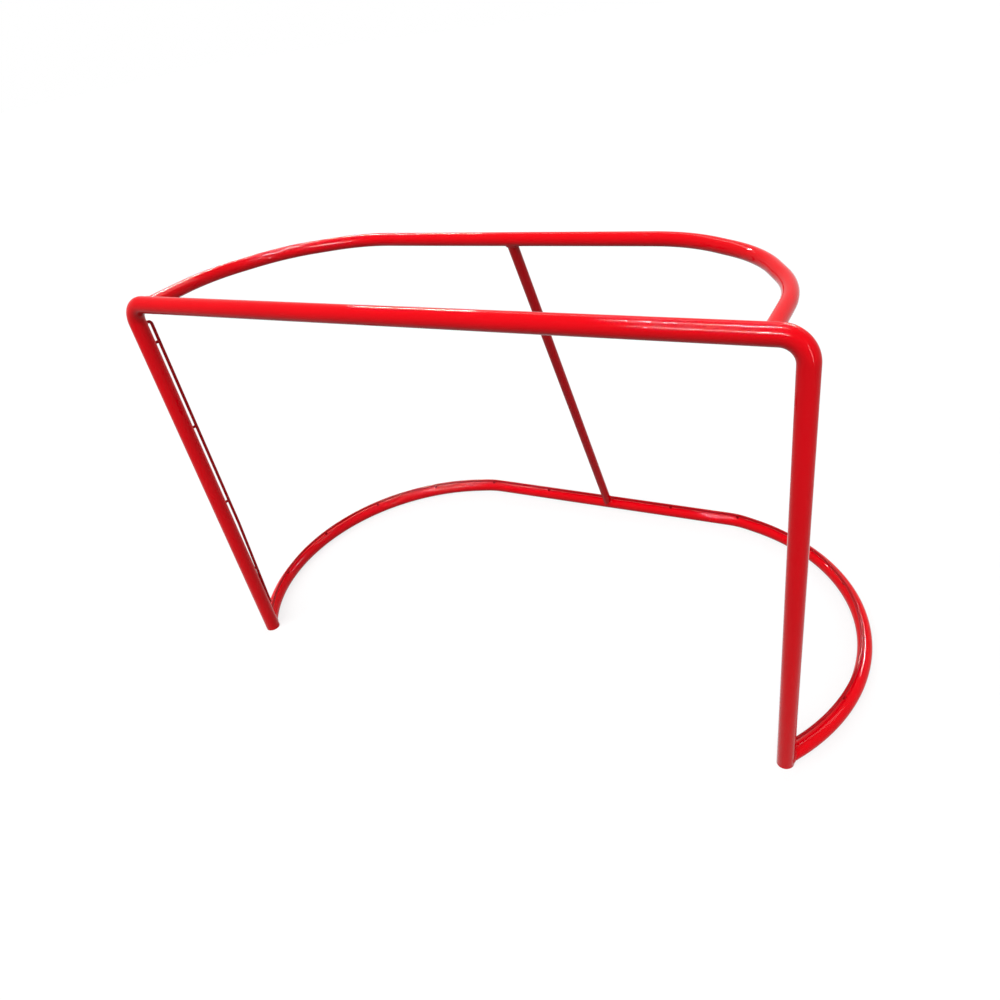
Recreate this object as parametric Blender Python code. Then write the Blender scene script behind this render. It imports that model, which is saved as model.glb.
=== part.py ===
"""Ice hockey goal frame, welded from bent steel pipe.

One bent pipe makes both posts and the crossbar. A second pipe makes the base with its two
lobes, a third the top shelf, and a strut joins these two at the back. Round rods for lacing
the net run beside the pipes, held off them by short studs. Lengths are in metres, +Z is up,
+X is to the right as seen from in front of the goal, and +Y points to the back.
"""

import math

import bmesh
import bpy
from mathutils import Vector

# Goal mouth, measured inside the posts and under the crossbar
MOUTH_WIDTH = 1.8288
MOUTH_HEIGHT = 1.2192

# Front pipe: both posts and the crossbar
FRONT_DIAMETER = 0.0483
FRONT_WALL = 0.0037
CORNER_RADIUS = 0.057

# Base pipe: lies on the ice, from one post round the back to the other
BASE_DIAMETER = 0.04445
BASE_WALL = 0.0030
BASE_SPLAY = 53.5
BASE_LEAD = 0.027
LOBE_RADIUS = 0.646
LOBE_TURN = 110.0
LOBE_LINK = 0.037
HEEL_RADIUS = 0.280

# Top pipe: the shelf behind the crossbar, with the same bends at both corners
TOP_DIAMETER = 0.0381
TOP_WALL = 0.0029
TOP_INSET = 0.0745
TOP_LEG_LENGTH = 0.143
TOP_BEND_COUNT = 3
TOP_BEND_RADIUS = 0.365
TOP_BEND_LINK = 0.050

# Rear strut between the top pipe and the base pipe. Its foot's front face lies behind the
# base pipe's front face by the inset.
STRUT_DIAMETER = 0.03175
STRUT_WALL = 0.0026
STRUT_FOOT_INSET = 0.00035

# Lacing rods, each at a tilt round its pipe: from the top for the base, from the back for
# the posts and the crossbar
ROD_DIAMETER = 0.0095
LACING_GAP = 0.0093
BASE_ROD_TILT = 17.3
POST_ROD_TILT = 10.0
CROSSBAR_ROD_TILT = 10.0
POST_ROD_FOOT = 0.100
POST_ROD_SEAT = 0.022
POST_ROD_LEAN = 0.450
POST_ROD_DROP = 0.064
HOOK_RADIUS = 0.010

# Studs that carry the rods, spread evenly along each rod; the base's count is for one side
STUD_DIAMETER = 0.0085
BASE_STUD_COUNT = 6
POST_STUD_COUNT = 4
POST_STUD_DROP = 0.127
POST_STUD_RISE = 0.139
CROSSBAR_STUD_COUNT = 6

# Weld beads, as the radius of the round bead laid in the corner
PIPE_BEAD = 0.0040
ROD_BEAD = 0.0022
SEAT_BEAD = 0.0045
BASE_BEAD_OPENING = 100.0

# Clearance between welded pieces, and how fine the round shapes are
JOINT_GAP = 0.0003
OVERRUN = 0.010
BEND_STEP = 6.0
CORNER_STEP = 9.0
HOOK_STEP = 18.0
PIPE_SIDES = 20
BORE_SIDES = 12
ROD_SIDES = 10
STUD_SIDES = 12
BEAD_SIDES = 8
PIPE_BEAD_POINTS = 20
ROD_BEAD_POINTS = 12
SMOOTH_ANGLE = 40.0

# Sizes that follow from the ones above
FRONT_RADIUS = FRONT_DIAMETER / 2
BASE_RADIUS = BASE_DIAMETER / 2
TOP_RADIUS = TOP_DIAMETER / 2
STRUT_RADIUS = STRUT_DIAMETER / 2
STRUT_FOOT_FORWARD = BASE_RADIUS - STRUT_RADIUS - STRUT_FOOT_INSET
ROD_RADIUS = ROD_DIAMETER / 2
STUD_RADIUS = STUD_DIAMETER / 2
POST_X = MOUTH_WIDTH / 2 + FRONT_RADIUS
CROSSBAR_Z = MOUTH_HEIGHT + FRONT_RADIUS
TOP_LEG_X = POST_X - TOP_INSET
BASE_ROD_REACH = BASE_RADIUS + LACING_GAP + ROD_RADIUS
BASE_ROD_INWARD = BASE_ROD_REACH * math.sin(math.radians(BASE_ROD_TILT))
BASE_ROD_Z = BASE_RADIUS + BASE_ROD_REACH * math.cos(math.radians(BASE_ROD_TILT))
FRONT_ROD_REACH = FRONT_RADIUS + LACING_GAP + ROD_RADIUS
SEATED_ROD_REACH = FRONT_RADIUS + ROD_RADIUS + JOINT_GAP
POST_ROD_SEAT_TOP = POST_ROD_FOOT + POST_ROD_SEAT
POST_ROD_TOP = CROSSBAR_Z - POST_ROD_DROP

UP = Vector((0.0, 0.0, 1.0))
RIGHT = Vector((1.0, 0.0, 0.0))
BACK = Vector((0.0, 1.0, 0.0))


def clear_scene():
    """Remove every object that the file starts with."""
    for thing in list(bpy.data.objects):
        bpy.data.objects.remove(thing, do_unlink=True)


def new_collection(name):
    """A collection of its own under the scene."""
    group = bpy.data.collections.new(name)
    bpy.context.scene.collection.children.link(group)
    return group


def red_paint(name, roughness):
    """Glossy red powder coat on steel."""
    material = bpy.data.materials.new(name)
    material.use_nodes = True
    shader = material.node_tree.nodes["Principled BSDF"]
    shader.inputs["Base Color"].default_value = (0.62, 0.004, 0.016, 1.0)
    shader.inputs["Metallic"].default_value = 0.0
    shader.inputs["Roughness"].default_value = roughness
    shader.inputs["Coat Weight"].default_value = 0.4
    return material


def walk(start, heading, moves):
    """Axis of a bent pipe in its own plane, as pairs of coordinates.

    start is a pair of coordinates and heading an angle in degrees. A move is either
    ("straight", length) or ("bend", radius, turn in degrees to the left, step in degrees).
    The points of a bend lie on its true arc.
    """
    points = [tuple(start)]
    across, along = start
    angle = math.radians(heading)
    for kind, *sizes in moves:
        if kind == "straight":
            chords = [(sizes[0], 0.0)]
        else:
            radius, turn, step = sizes
            count = max(1, math.ceil(abs(turn) / step))
            part = math.radians(turn) / count
            chords = [(2 * radius * math.sin(abs(part) / 2), part)] * count
        for length, part in chords:
            across += length * math.cos(angle + part / 2)
            along += length * math.sin(angle + part / 2)
            angle += part
            points.append((across, along))
    return points


def mirrored(points):
    """The same points on the other side of the goal."""
    return [Vector((-point.x, point.y, point.z)) for point in points]


def both_sides(points):
    """A right half whose last run ends on the middle plane, joined to its mirror image.

    The two last runs become one, so the point on the middle plane is left out.
    """
    return points[:-1] + mirrored(points)[-2::-1]


def side_of(points, side):
    """Points of the right side as they are, or mirrored for the left side."""
    return points if side == "right" else mirrored(points)


def lengthened(points, extra):
    """The same line with both end points moved outwards."""
    first = points[0] + (points[0] - points[1]).normalized() * extra
    last = points[-1] + (points[-1] - points[-2]).normalized() * extra
    return [first] + points[1:-1] + [last]


def length_of(points):
    """Length of a line of points."""
    return sum((far - near).length for near, far in zip(points, points[1:]))


def point_before_end(points, distance):
    """The point at a distance back from the last point, and the direction of travel there."""
    left = distance
    for near, far in zip(reversed(points), reversed(points[:-1])):
        length = (far - near).length
        if left <= length:
            break
        left -= length
    travel = (near - far).normalized()
    return near - travel * left, travel


def front_line():
    """Up the right post, over the crossbar and down the left post."""
    half = walk((POST_X, 0.0), 90.0, [
        ("straight", CROSSBAR_Z - CORNER_RADIUS),
        ("bend", CORNER_RADIUS, 90.0, CORNER_STEP),
        ("straight", POST_X - CORNER_RADIUS),
    ])
    return both_sides([Vector((x, 0.0, z)) for x, z in half])


def base_half_line(inward=0.0, height=BASE_RADIUS):
    """Right half of the base, from the post to the middle of the back.

    inward moves the whole line sideways, towards the inside of the goal.
    """
    splay = math.radians(BASE_SPLAY)
    start = (POST_X - inward * math.sin(splay), inward * math.cos(splay))
    plan = walk(start, BASE_SPLAY, [
        ("straight", BASE_LEAD),
        ("bend", LOBE_RADIUS - inward, LOBE_TURN, BEND_STEP),
        ("straight", LOBE_LINK),
        ("bend", HEEL_RADIUS - inward, 180.0 - BASE_SPLAY - LOBE_TURN, BEND_STEP),
    ])
    plan.append((0.0, plan[-1][1]))
    return [Vector((x, y, height)) for x, y in plan]


def top_half_line():
    """Right half of the top shelf, from the crossbar to the middle of the back."""
    moves = [("straight", TOP_LEG_LENGTH)]
    for number in range(TOP_BEND_COUNT):
        if number:
            moves.append(("straight", TOP_BEND_LINK))
        moves.append(("bend", TOP_BEND_RADIUS, 90.0 / TOP_BEND_COUNT, BEND_STEP))
    plan = walk((TOP_LEG_X, 0.0), 90.0, moves)
    plan.append((0.0, plan[-1][1]))
    return [Vector((x, y, CROSSBAR_Z)) for x, y in plan]


def strut_line():
    """From the top pipe's axis to a foot just ahead of the base pipe's axis."""
    foot = base_half_line()[-1] - BACK * STRUT_FOOT_FORWARD
    return [top_half_line()[-1], foot]


def post_rod_direction():
    """Level direction from the right post's axis to its rod."""
    tilt = math.radians(POST_ROD_TILT)
    return BACK * math.cos(tilt) - RIGHT * math.sin(tilt)


def post_rod_line():
    """Rod behind the right post: seated foot, slow lean, long straight and hooked top."""
    seat = [(SEATED_ROD_REACH, POST_ROD_FOOT), (SEATED_ROD_REACH, POST_ROD_SEAT_TOP)]
    above = walk((FRONT_ROD_REACH, POST_ROD_LEAN), 90.0, [
        ("straight", POST_ROD_TOP - HOOK_RADIUS - POST_ROD_LEAN),
        ("bend", HOOK_RADIUS, 90.0, HOOK_STEP),
        ("straight", FRONT_ROD_REACH - HOOK_RADIUS - FRONT_RADIUS / 2),
    ])
    outwards = post_rod_direction()
    return [RIGHT * POST_X + UP * z + outwards * reach for reach, z in seat + above]


def post_rod_reach(height):
    """Distance from a post's axis to its rod's axis, at a height below the hook."""
    share = (height - POST_ROD_SEAT_TOP) / (POST_ROD_LEAN - POST_ROD_SEAT_TOP)
    share = min(1.0, max(0.0, share))
    return SEATED_ROD_REACH + share * (FRONT_ROD_REACH - SEATED_ROD_REACH)


def crossbar_rod_direction():
    """Direction from the crossbar's axis to its rod, square to the crossbar."""
    tilt = math.radians(CROSSBAR_ROD_TILT)
    return BACK * math.cos(tilt) - UP * math.sin(tilt)


def crossbar_rod_line():
    """Straight rod behind the crossbar, from one leg of the top pipe to the other."""
    middle = UP * CROSSBAR_Z + crossbar_rod_direction() * FRONT_ROD_REACH
    return [middle + RIGHT * TOP_LEG_X, middle - RIGHT * TOP_LEG_X]


def seam(host_point, host_axis, host_radius, branch_point, branch_axis, branch_radius,
         count, opening=0.0):
    """Points where a branch's round surface meets a host pipe's, square to each other.

    The branch's axis passes the host's at a distance, offset. At an angle a round the branch
    the seam lies sqrt(R^2 - (r cos a + offset)^2) along the branch from the host's axis. Past
    the host's widest line it stays on that line. An opening in degrees leaves a gap in the
    ring, on the side that host_axis points away from.
    """
    side = branch_axis.cross(host_axis).normalized()
    corner = host_point + host_axis * (branch_point - host_point).dot(host_axis)
    offset = (branch_point - corner).dot(side)
    points = []
    for number in range(count):
        if opening:
            turn = opening / 2 - 90.0 + (360.0 - opening) * number / (count - 1)
        else:
            turn = 360.0 * number / count
        angle = math.radians(turn)
        across = branch_radius * math.cos(angle) + offset
        across = max(-host_radius, min(host_radius, across))
        reach = math.sqrt(host_radius ** 2 - across ** 2)
        rise = branch_radius * math.sin(angle)
        points.append(corner + side * across + host_axis * rise + branch_axis * reach)
    return points


class Workshop:
    """Makes the pieces and the cutters that shape their ends, all on the goal's own frame."""

    def __init__(self, origin):
        self.pieces = new_collection("ice_hockey_goal")
        self.cutters = new_collection("goal_cutters")
        self.frame = bpy.data.objects.new("goal_frame", None)
        self.frame.location = origin
        self.pieces.objects.link(self.frame)
        bpy.context.view_layer.update()
        self.rooms = {}

    def place(self, name, mesh, paint=None):
        """A new object on the goal's frame: a painted piece, or a cutter without paint."""
        thing = bpy.data.objects.new(name, mesh)
        thing.parent = self.frame
        if paint:
            mesh.materials.append(paint)
            mesh.shade_smooth()
            mesh.set_sharp_from_angle(angle=math.radians(SMOOTH_ANGLE))
            self.pieces.objects.link(thing)
        else:
            thing.hide_render = True
            thing.display_type = "WIRE"
            self.cutters.objects.link(thing)
        return thing

    def sweep(self, name, points, radius, sides, paint=None, ring=False):
        """A round bar along a line of points with flat ends, or a closed ring."""
        curve = bpy.data.curves.new(name, "CURVE")
        curve.dimensions = "3D"
        curve.twist_mode = "MINIMUM"
        curve.fill_mode = "FULL"
        curve.bevel_depth = radius
        curve.bevel_resolution = sides // 2 - 2
        curve.use_fill_caps = not ring
        spline = curve.splines.new("POLY")
        spline.points.add(len(points) - 1)
        for target, point in zip(spline.points, points):
            target.co = (*point, 1.0)
        spline.use_cyclic_u = ring
        rail = bpy.data.objects.new(name + "_rail", curve)
        self.cutters.objects.link(rail)
        bpy.context.view_layer.update()
        graph = bpy.context.evaluated_depsgraph_get()
        mesh = bpy.data.meshes.new_from_object(rail.evaluated_get(graph))
        shape = bmesh.new()
        shape.from_mesh(mesh)
        bmesh.ops.remove_doubles(shape, verts=shape.verts, dist=0.00001)
        bmesh.ops.recalc_face_normals(shape, faces=shape.faces)
        shape.to_mesh(mesh)
        shape.free()
        thing = self.place(name, mesh, paint)
        thing.matrix_basis = rail.matrix_world
        bpy.data.objects.remove(rail, do_unlink=True)
        bpy.data.curves.remove(curve)
        return thing

    def cut(self, piece, *tools):
        """Cut each tool's shape out of a piece."""
        for tool in tools:
            change = piece.modifiers.new("cut_" + tool.name, "BOOLEAN")
            change.operation = "DIFFERENCE"
            change.solver = "EXACT"
            change.object = tool

    def make_room(self, name, line, radius, sides):
        """Keep a cutter that is larger than a pipe or rod by the joint gap."""
        room = self.sweep(name + "_room", line, radius + JOINT_GAP, sides)
        self.rooms[name] = room

    def pipe(self, name, line, radius, wall, paint, *rests):
        """An open pipe whose ends are shaped to the pipes that it rests on.

        The bore is a longer inner bar, cut out once the ends have their shape.
        """
        pipe = self.sweep(name, line, radius, PIPE_SIDES, paint)
        self.cut(pipe, *[self.rooms[rest] for rest in rests])
        bore_line = lengthened(line, OVERRUN)
        self.cut(pipe, self.sweep(name + "_bore", bore_line, radius - wall, BORE_SIDES))

    def rod(self, name, line, paint, *rests):
        """A lacing rod whose ends are shaped to the pipes that it rests on."""
        rod = self.sweep(name, line, ROD_RADIUS, ROD_SIDES, paint)
        self.cut(rod, *[self.rooms[rest] for rest in rests])
        self.make_room(name, line, ROD_RADIUS, ROD_SIDES)

    def stud(self, name, foot, direction, pipe, pipe_radius, rod, reach, paint):
        """A short round pin from a pipe's wall to its rod, shaped to both."""
        inside = pipe_radius - STUD_RADIUS
        mesh = bpy.data.meshes.new(name)
        shape = bmesh.new()
        bmesh.ops.create_cone(
            shape, cap_ends=True, segments=STUD_SIDES, radius1=STUD_RADIUS,
            radius2=STUD_RADIUS, depth=reach - inside)
        shape.to_mesh(mesh)
        shape.free()
        pin = self.place(name, mesh, paint)
        pin.location = foot + direction * (reach + inside) / 2
        pin.rotation_mode = "QUATERNION"
        pin.rotation_quaternion = direction.to_track_quat("Z", "Y")
        self.cut(pin, self.rooms[pipe], self.rooms[rod])

    def weld(self, name, line, bead_radius, paint, first, second, ring=True):
        """A round bead laid along a seam and cut clear of the two pieces that it joins."""
        bead = self.sweep(name, line, bead_radius, BEAD_SIDES, paint, ring)
        self.cut(bead, self.rooms[first], self.rooms[second])


def make_pipes(shop, paint, strut_paint):
    """The four pipes, each with its ends shaped to the pipe that it meets."""
    front = front_line()
    base = both_sides(base_half_line())
    top = both_sides(top_half_line())
    strut = strut_line()
    shop.make_room("front_tube", lengthened(front, OVERRUN), FRONT_RADIUS, PIPE_SIDES)
    shop.make_room("base_tube", base, BASE_RADIUS, PIPE_SIDES)
    shop.make_room("top_tube", top, TOP_RADIUS, PIPE_SIDES)
    shop.make_room("rear_strut", strut, STRUT_RADIUS, PIPE_SIDES)
    shop.pipe("front_tube", front, FRONT_RADIUS, FRONT_WALL, paint)
    shop.pipe("base_tube", base, BASE_RADIUS, BASE_WALL, paint, "front_tube")
    shop.pipe("top_tube", top, TOP_RADIUS, TOP_WALL, paint, "front_tube")
    shop.pipe("rear_strut", strut, STRUT_RADIUS, STRUT_WALL, strut_paint, "top_tube",
              "base_tube")


def make_base_rods(shop, side, rod_paint, stud_paint):
    """One half of the rod along the base, from a post to the strut, and its studs."""
    line = side_of(base_half_line(BASE_ROD_INWARD, BASE_ROD_Z), side)
    rod = side + "_base_rod"
    shop.rod(rod, line, rod_paint, "front_tube", "rear_strut")
    half = base_half_line()
    pitch = length_of(half) / (BASE_STUD_COUNT + 1)
    tilt = math.radians(BASE_ROD_TILT)
    for number in range(1, BASE_STUD_COUNT + 1):
        foot, travel = point_before_end(half, number * pitch)
        direction = UP * math.cos(tilt) + UP.cross(travel) * math.sin(tilt)
        foot, direction = side_of([foot, direction], side)
        shop.stud(f"{side}_base_stud_{number}", foot, direction, "base_tube", BASE_RADIUS,
                  rod, BASE_ROD_REACH, stud_paint)


def make_post_rods(shop, side, rod_paint, stud_paint):
    """The rod behind one post and its studs."""
    rod = side + "_post_rod"
    shop.rod(rod, side_of(post_rod_line(), side), rod_paint, "front_tube")
    highest = CROSSBAR_Z - POST_STUD_DROP
    lowest = POST_ROD_SEAT_TOP + POST_STUD_RISE
    pitch = (highest - lowest) / (POST_STUD_COUNT - 1)
    for number in range(POST_STUD_COUNT):
        height = highest - number * pitch
        foot, direction = side_of([RIGHT * POST_X + UP * height, post_rod_direction()], side)
        shop.stud(f"{side}_post_stud_{number + 1}", foot, direction, "front_tube",
                  FRONT_RADIUS, rod, post_rod_reach(height), stud_paint)


def make_crossbar_rod(shop, rod_paint, stud_paint):
    """The rod behind the crossbar and its studs, spaced evenly from the middle."""
    shop.rod("crossbar_rod", crossbar_rod_line(), rod_paint, "top_tube")
    pitch = 2 * TOP_LEG_X / CROSSBAR_STUD_COUNT
    for number in range(CROSSBAR_STUD_COUNT):
        x = (number + 0.5) * pitch - TOP_LEG_X
        foot = RIGHT * x + UP * CROSSBAR_Z
        shop.stud(f"crossbar_stud_{number + 1}", foot, crossbar_rod_direction(), "front_tube",
                  FRONT_RADIUS, "crossbar_rod", FRONT_ROD_REACH, stud_paint)


def make_strut_welds(shop, paint):
    """Beads round the head and the foot of the strut."""
    head, foot = strut_line()
    down = (foot - head).normalized()
    base_back = base_half_line()[-1]
    ring = seam(head, RIGHT, TOP_RADIUS, head, down, STRUT_RADIUS, PIPE_BEAD_POINTS)
    shop.weld("strut_head_weld", ring, PIPE_BEAD, paint, "top_tube", "rear_strut")
    ring = seam(base_back, RIGHT, BASE_RADIUS, foot, -down, STRUT_RADIUS, PIPE_BEAD_POINTS)
    shop.weld("strut_foot_weld", ring, PIPE_BEAD, paint, "base_tube", "rear_strut")


def make_side_welds(shop, side, paint):
    """Beads on one side of the goal: top pipe, base pipe and the ends of the rods."""
    splay = math.radians(BASE_SPLAY)
    away = RIGHT * math.cos(splay) + BACK * math.sin(splay)
    post = RIGHT * POST_X
    leg = RIGHT * TOP_LEG_X + UP * CROSSBAR_Z

    ring = seam(UP * CROSSBAR_Z, RIGHT, FRONT_RADIUS, leg, BACK, TOP_RADIUS, PIPE_BEAD_POINTS)
    shop.weld(side + "_top_weld", side_of(ring, side), PIPE_BEAD, paint, "front_tube",
              "top_tube")

    foot = post + UP * BASE_RADIUS
    arc = seam(post, UP, FRONT_RADIUS, foot, away, BASE_RADIUS, PIPE_BEAD_POINTS,
               BASE_BEAD_OPENING)
    shop.weld(side + "_base_weld", side_of(arc, side), PIPE_BEAD, paint, "front_tube",
              "base_tube", ring=False)

    rod_start = base_half_line(BASE_ROD_INWARD, BASE_ROD_Z)[0]
    ring = seam(post, UP, FRONT_RADIUS, rod_start, away, ROD_RADIUS, ROD_BEAD_POINTS)
    shop.weld(side + "_base_rod_post_weld", side_of(ring, side), ROD_BEAD, paint,
              "front_tube", side + "_base_rod")

    head, foot = strut_line()
    rod_end = base_half_line(BASE_ROD_INWARD, BASE_ROD_Z)[-1]
    ring = seam(head, (head - foot).normalized(), STRUT_RADIUS, rod_end, RIGHT, ROD_RADIUS,
                ROD_BEAD_POINTS)
    shop.weld(side + "_base_rod_strut_weld", side_of(ring, side), ROD_BEAD, paint,
              "rear_strut", side + "_base_rod")

    hook = post + UP * POST_ROD_TOP
    ring = seam(post, UP, FRONT_RADIUS, hook, post_rod_direction(), ROD_RADIUS,
                ROD_BEAD_POINTS)
    shop.weld(side + "_post_rod_head_weld", side_of(ring, side), ROD_BEAD, paint,
              "front_tube", side + "_post_rod")

    seat = post + UP * (POST_ROD_FOOT - SEAT_BEAD / 2) + post_rod_direction() * FRONT_RADIUS
    line = [seat, seat + UP * POST_ROD_SEAT]
    shop.weld(side + "_post_rod_foot_weld", side_of(line, side), SEAT_BEAD, paint,
              "front_tube", side + "_post_rod", ring=False)

    rod_start = crossbar_rod_line()[0]
    ring = seam(leg, BACK, TOP_RADIUS, rod_start, -RIGHT, ROD_RADIUS, ROD_BEAD_POINTS)
    shop.weld(side + "_crossbar_rod_weld", side_of(ring, side), ROD_BEAD, paint,
              "top_tube", "crossbar_rod")


def build_goal():
    """Make every piece, with the origin on the ice under the middle of the whole goal."""
    front_face = -FRONT_RADIUS
    rear_face = base_half_line()[-1].y + BASE_RADIUS
    shop = Workshop(BACK * -(front_face + rear_face) / 2)
    pipe_paint = red_paint("pipe_powder_coat", 0.22)
    strut_paint = red_paint("strut_powder_coat", 0.26)
    rod_paint = red_paint("rod_powder_coat", 0.24)
    stud_paint = red_paint("stud_powder_coat", 0.30)
    bead_paint = red_paint("bead_powder_coat", 0.32)
    make_pipes(shop, pipe_paint, strut_paint)
    for side in ("left", "right"):
        make_base_rods(shop, side, rod_paint, stud_paint)
        make_post_rods(shop, side, rod_paint, stud_paint)
    make_crossbar_rod(shop, rod_paint, stud_paint)
    make_strut_welds(shop, bead_paint)
    for side in ("left", "right"):
        make_side_welds(shop, side, bead_paint)


clear_scene()
build_goal()
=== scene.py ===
"""Looks of an ice hockey goal frame: bent steel pipe in glossy red powder coat.

Four pipes, five lacing rods, their studs and the weld beads are worked out as smooth surfaces
on the same lines as the frame's solids. Lengths are in metres, +Z is up, +X is to the right as
seen from in front of the goal, and +Y points to the back.
"""

import math
from collections import namedtuple

import bpy
import numpy as np
from bpy.props import FloatProperty, FloatVectorProperty, IntProperty, PointerProperty
from mathutils import Matrix, Vector


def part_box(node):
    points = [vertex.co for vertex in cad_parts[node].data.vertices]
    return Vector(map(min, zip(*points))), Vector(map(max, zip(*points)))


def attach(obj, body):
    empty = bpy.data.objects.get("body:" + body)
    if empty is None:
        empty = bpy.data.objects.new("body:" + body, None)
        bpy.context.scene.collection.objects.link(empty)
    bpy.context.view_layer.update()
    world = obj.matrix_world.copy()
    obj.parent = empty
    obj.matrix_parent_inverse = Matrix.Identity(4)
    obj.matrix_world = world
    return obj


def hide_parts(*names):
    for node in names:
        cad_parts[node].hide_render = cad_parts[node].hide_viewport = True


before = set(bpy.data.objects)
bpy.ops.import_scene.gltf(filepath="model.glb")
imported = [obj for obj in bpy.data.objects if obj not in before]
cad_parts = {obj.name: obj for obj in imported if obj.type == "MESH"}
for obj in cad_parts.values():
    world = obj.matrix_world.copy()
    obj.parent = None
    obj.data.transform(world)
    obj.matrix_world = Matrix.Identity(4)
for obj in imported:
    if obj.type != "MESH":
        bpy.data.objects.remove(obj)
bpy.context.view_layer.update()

bl_info = {
    "name": "Ice hockey goal frame",
    "version": (1, 0, 0),
    "blender": (4, 5, 0),
    "location": "3D View > Sidebar > Goal",
    "description": "Pipes, lacing rods, studs and weld beads of a goal in red powder coat",
    "category": "Object",
}

UP = np.array((0.0, 0.0, 1.0))
RIGHT = np.array((1.0, 0.0, 0.0))
BACK = np.array((0.0, 1.0, 0.0))
MIRROR = np.array((-1.0, 1.0, 1.0))
SIDES = ("left", "right")
QUARTER = math.pi / 2
WHITE = (1.0, 1.0, 1.0, 1.0)
SHORTEST = 0.0001

# How fine the round surfaces are, and the rounding of a sawn edge
BEND_STEP = math.radians(2.0)
PIPE_SIDES = 64
ROD_SIDES = 32
STUD_SIDES = 32
STUD_ROWS = 20
RIM_TURNS = (30.0, 60.0, 90.0)
EDGE = 0.0004
SMOOTH_ANGLE = math.radians(40.0)

# Weld beads: samples to a ripple and round the bead, then shares of the bead's leg or pitch
RIPPLE_SAMPLES = 8
FEWEST_RIPPLES = 3
BEAD_SECTION = 15
BEAD_DIP = math.radians(9.0)
BEAD_FLATNESS = 0.16
BEAD_ROOT = 0.45
RIPPLE_HEIGHT = 0.13
RIPPLE_CURL = 0.9
RIPPLE_MEAN = 2 / math.pi
HAND_SWAY = 0.05
HAND_WAVES = 3
END_TAPER = 2.0
END_SWELL = 0.08
ROD_COVER = 0.97

# Patterns in the powder coat: sizes and heights, part of the noise that the haze uses, and
# how it scales the roughness
FILM_PATCH = 0.180
HAZE_PATCH = 0.035
WAVE_HEIGHT = 0.00012
PEEL_HEIGHT = 0.000006
HAZE_NOISE = (0.3, 0.7)
HAZE_ROUGHNESS = (0.85, 1.25)

# Floor: its height and mottle, the share of white glow in it where it is seen, and the share
# of its colour that it sends back to the goal
FLOOR_Z = -0.0005
FLOOR_PATCH = 0.50
FLOOR_MOTTLE = 0.97
FLOOR_GLOW = 0.78
FLOOR_BOUNCE = 0.08

# Broad lights, which light the matt colour alone: direction that they come from, strength
BROAD_LIGHTS = {
    "key_light": ((-0.12, -0.72, 0.92), 2.85),
    "right_light": ((0.92, -0.25, 0.42), 1.2),
    "left_light": ((-0.92, -0.10, 0.42), 0.5),
    "back_light": ((-0.25, 0.95, 0.34), 1.9),
}
BROAD_ANGLE = math.radians(55.0)

# Strip lamps, which show in the gloss alone: place, aim, length and width in metres, watts
STRIPS = {
    "low_front_strip": ((0.3, -4.3, 3.8), (0.3, -0.5, 1.0), (2.8, 0.14), 780.0),
    "high_front_strip": ((0.3, -0.6, 4.5), (0.3, -0.5, 1.2), (2.2, 0.12), 560.0),
    "left_back_strip": ((-2.9, 2.2, 4.4), (-0.8, -0.2, 1.2), (1.2, 0.16), 125.0),
    "low_back_strip": ((1.2, 3.6, 3.6), (0.0, 0.0, 1.0), (1.6, 0.20), 150.0),
    "high_back_strip": ((0.0, 2.9, 5.3), (0.0, -0.5, 1.2), (9.0, 0.9), 150.0),
    "right_strip": ((4.4, -3.0, 1.3), (0.6, 0.0, 0.6), (0.20, 3.0), 150.0),
}

# A round surface that the end of another pipe or rod is shaped to
Host = namedtuple("Host", "point axis radius")

# Boxes of the pipes in the frame, which give the diameters and the main places
FRONT_LOW, FRONT_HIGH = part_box("front_tube")
BASE_LOW, BASE_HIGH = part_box("base_tube")
TOP_LOW, TOP_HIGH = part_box("top_tube")


def linear(hex_code):
    """Linear colour of an sRGB hex code such as "C80014"."""
    values = [int(hex_code[start:start + 2], 16) / 255 for start in (0, 2, 4)]
    return tuple(
        value / 12.92 if value <= 0.04045 else ((value + 0.055) / 1.055) ** 2.4
        for value in values)


def length_property(name, description, default):
    """A length in metres."""
    return FloatProperty(name=name, description=description, default=default, min=SHORTEST,
                         precision=4, unit="LENGTH")


def angle_property(name, description, degrees):
    """An angle whose default is written in degrees."""
    return FloatProperty(name=name, description=description, default=math.radians(degrees),
                         unit="ROTATION")


def share_property(name, description, default):
    """A number from 0 to 1."""
    return FloatProperty(name=name, description=description, default=default, min=0.0,
                         max=1.0, subtype="FACTOR")


def colour_property(name, description, hex_code):
    """A colour whose default is written as an sRGB hex code."""
    return FloatVectorProperty(name=name, description=description, default=linear(hex_code),
                               size=3, min=0.0, max=1.0, subtype="COLOR")


def count_property(name, description, default):
    """A whole number of like pieces."""
    return IntProperty(name=name, description=description, default=default, min=1)


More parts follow.
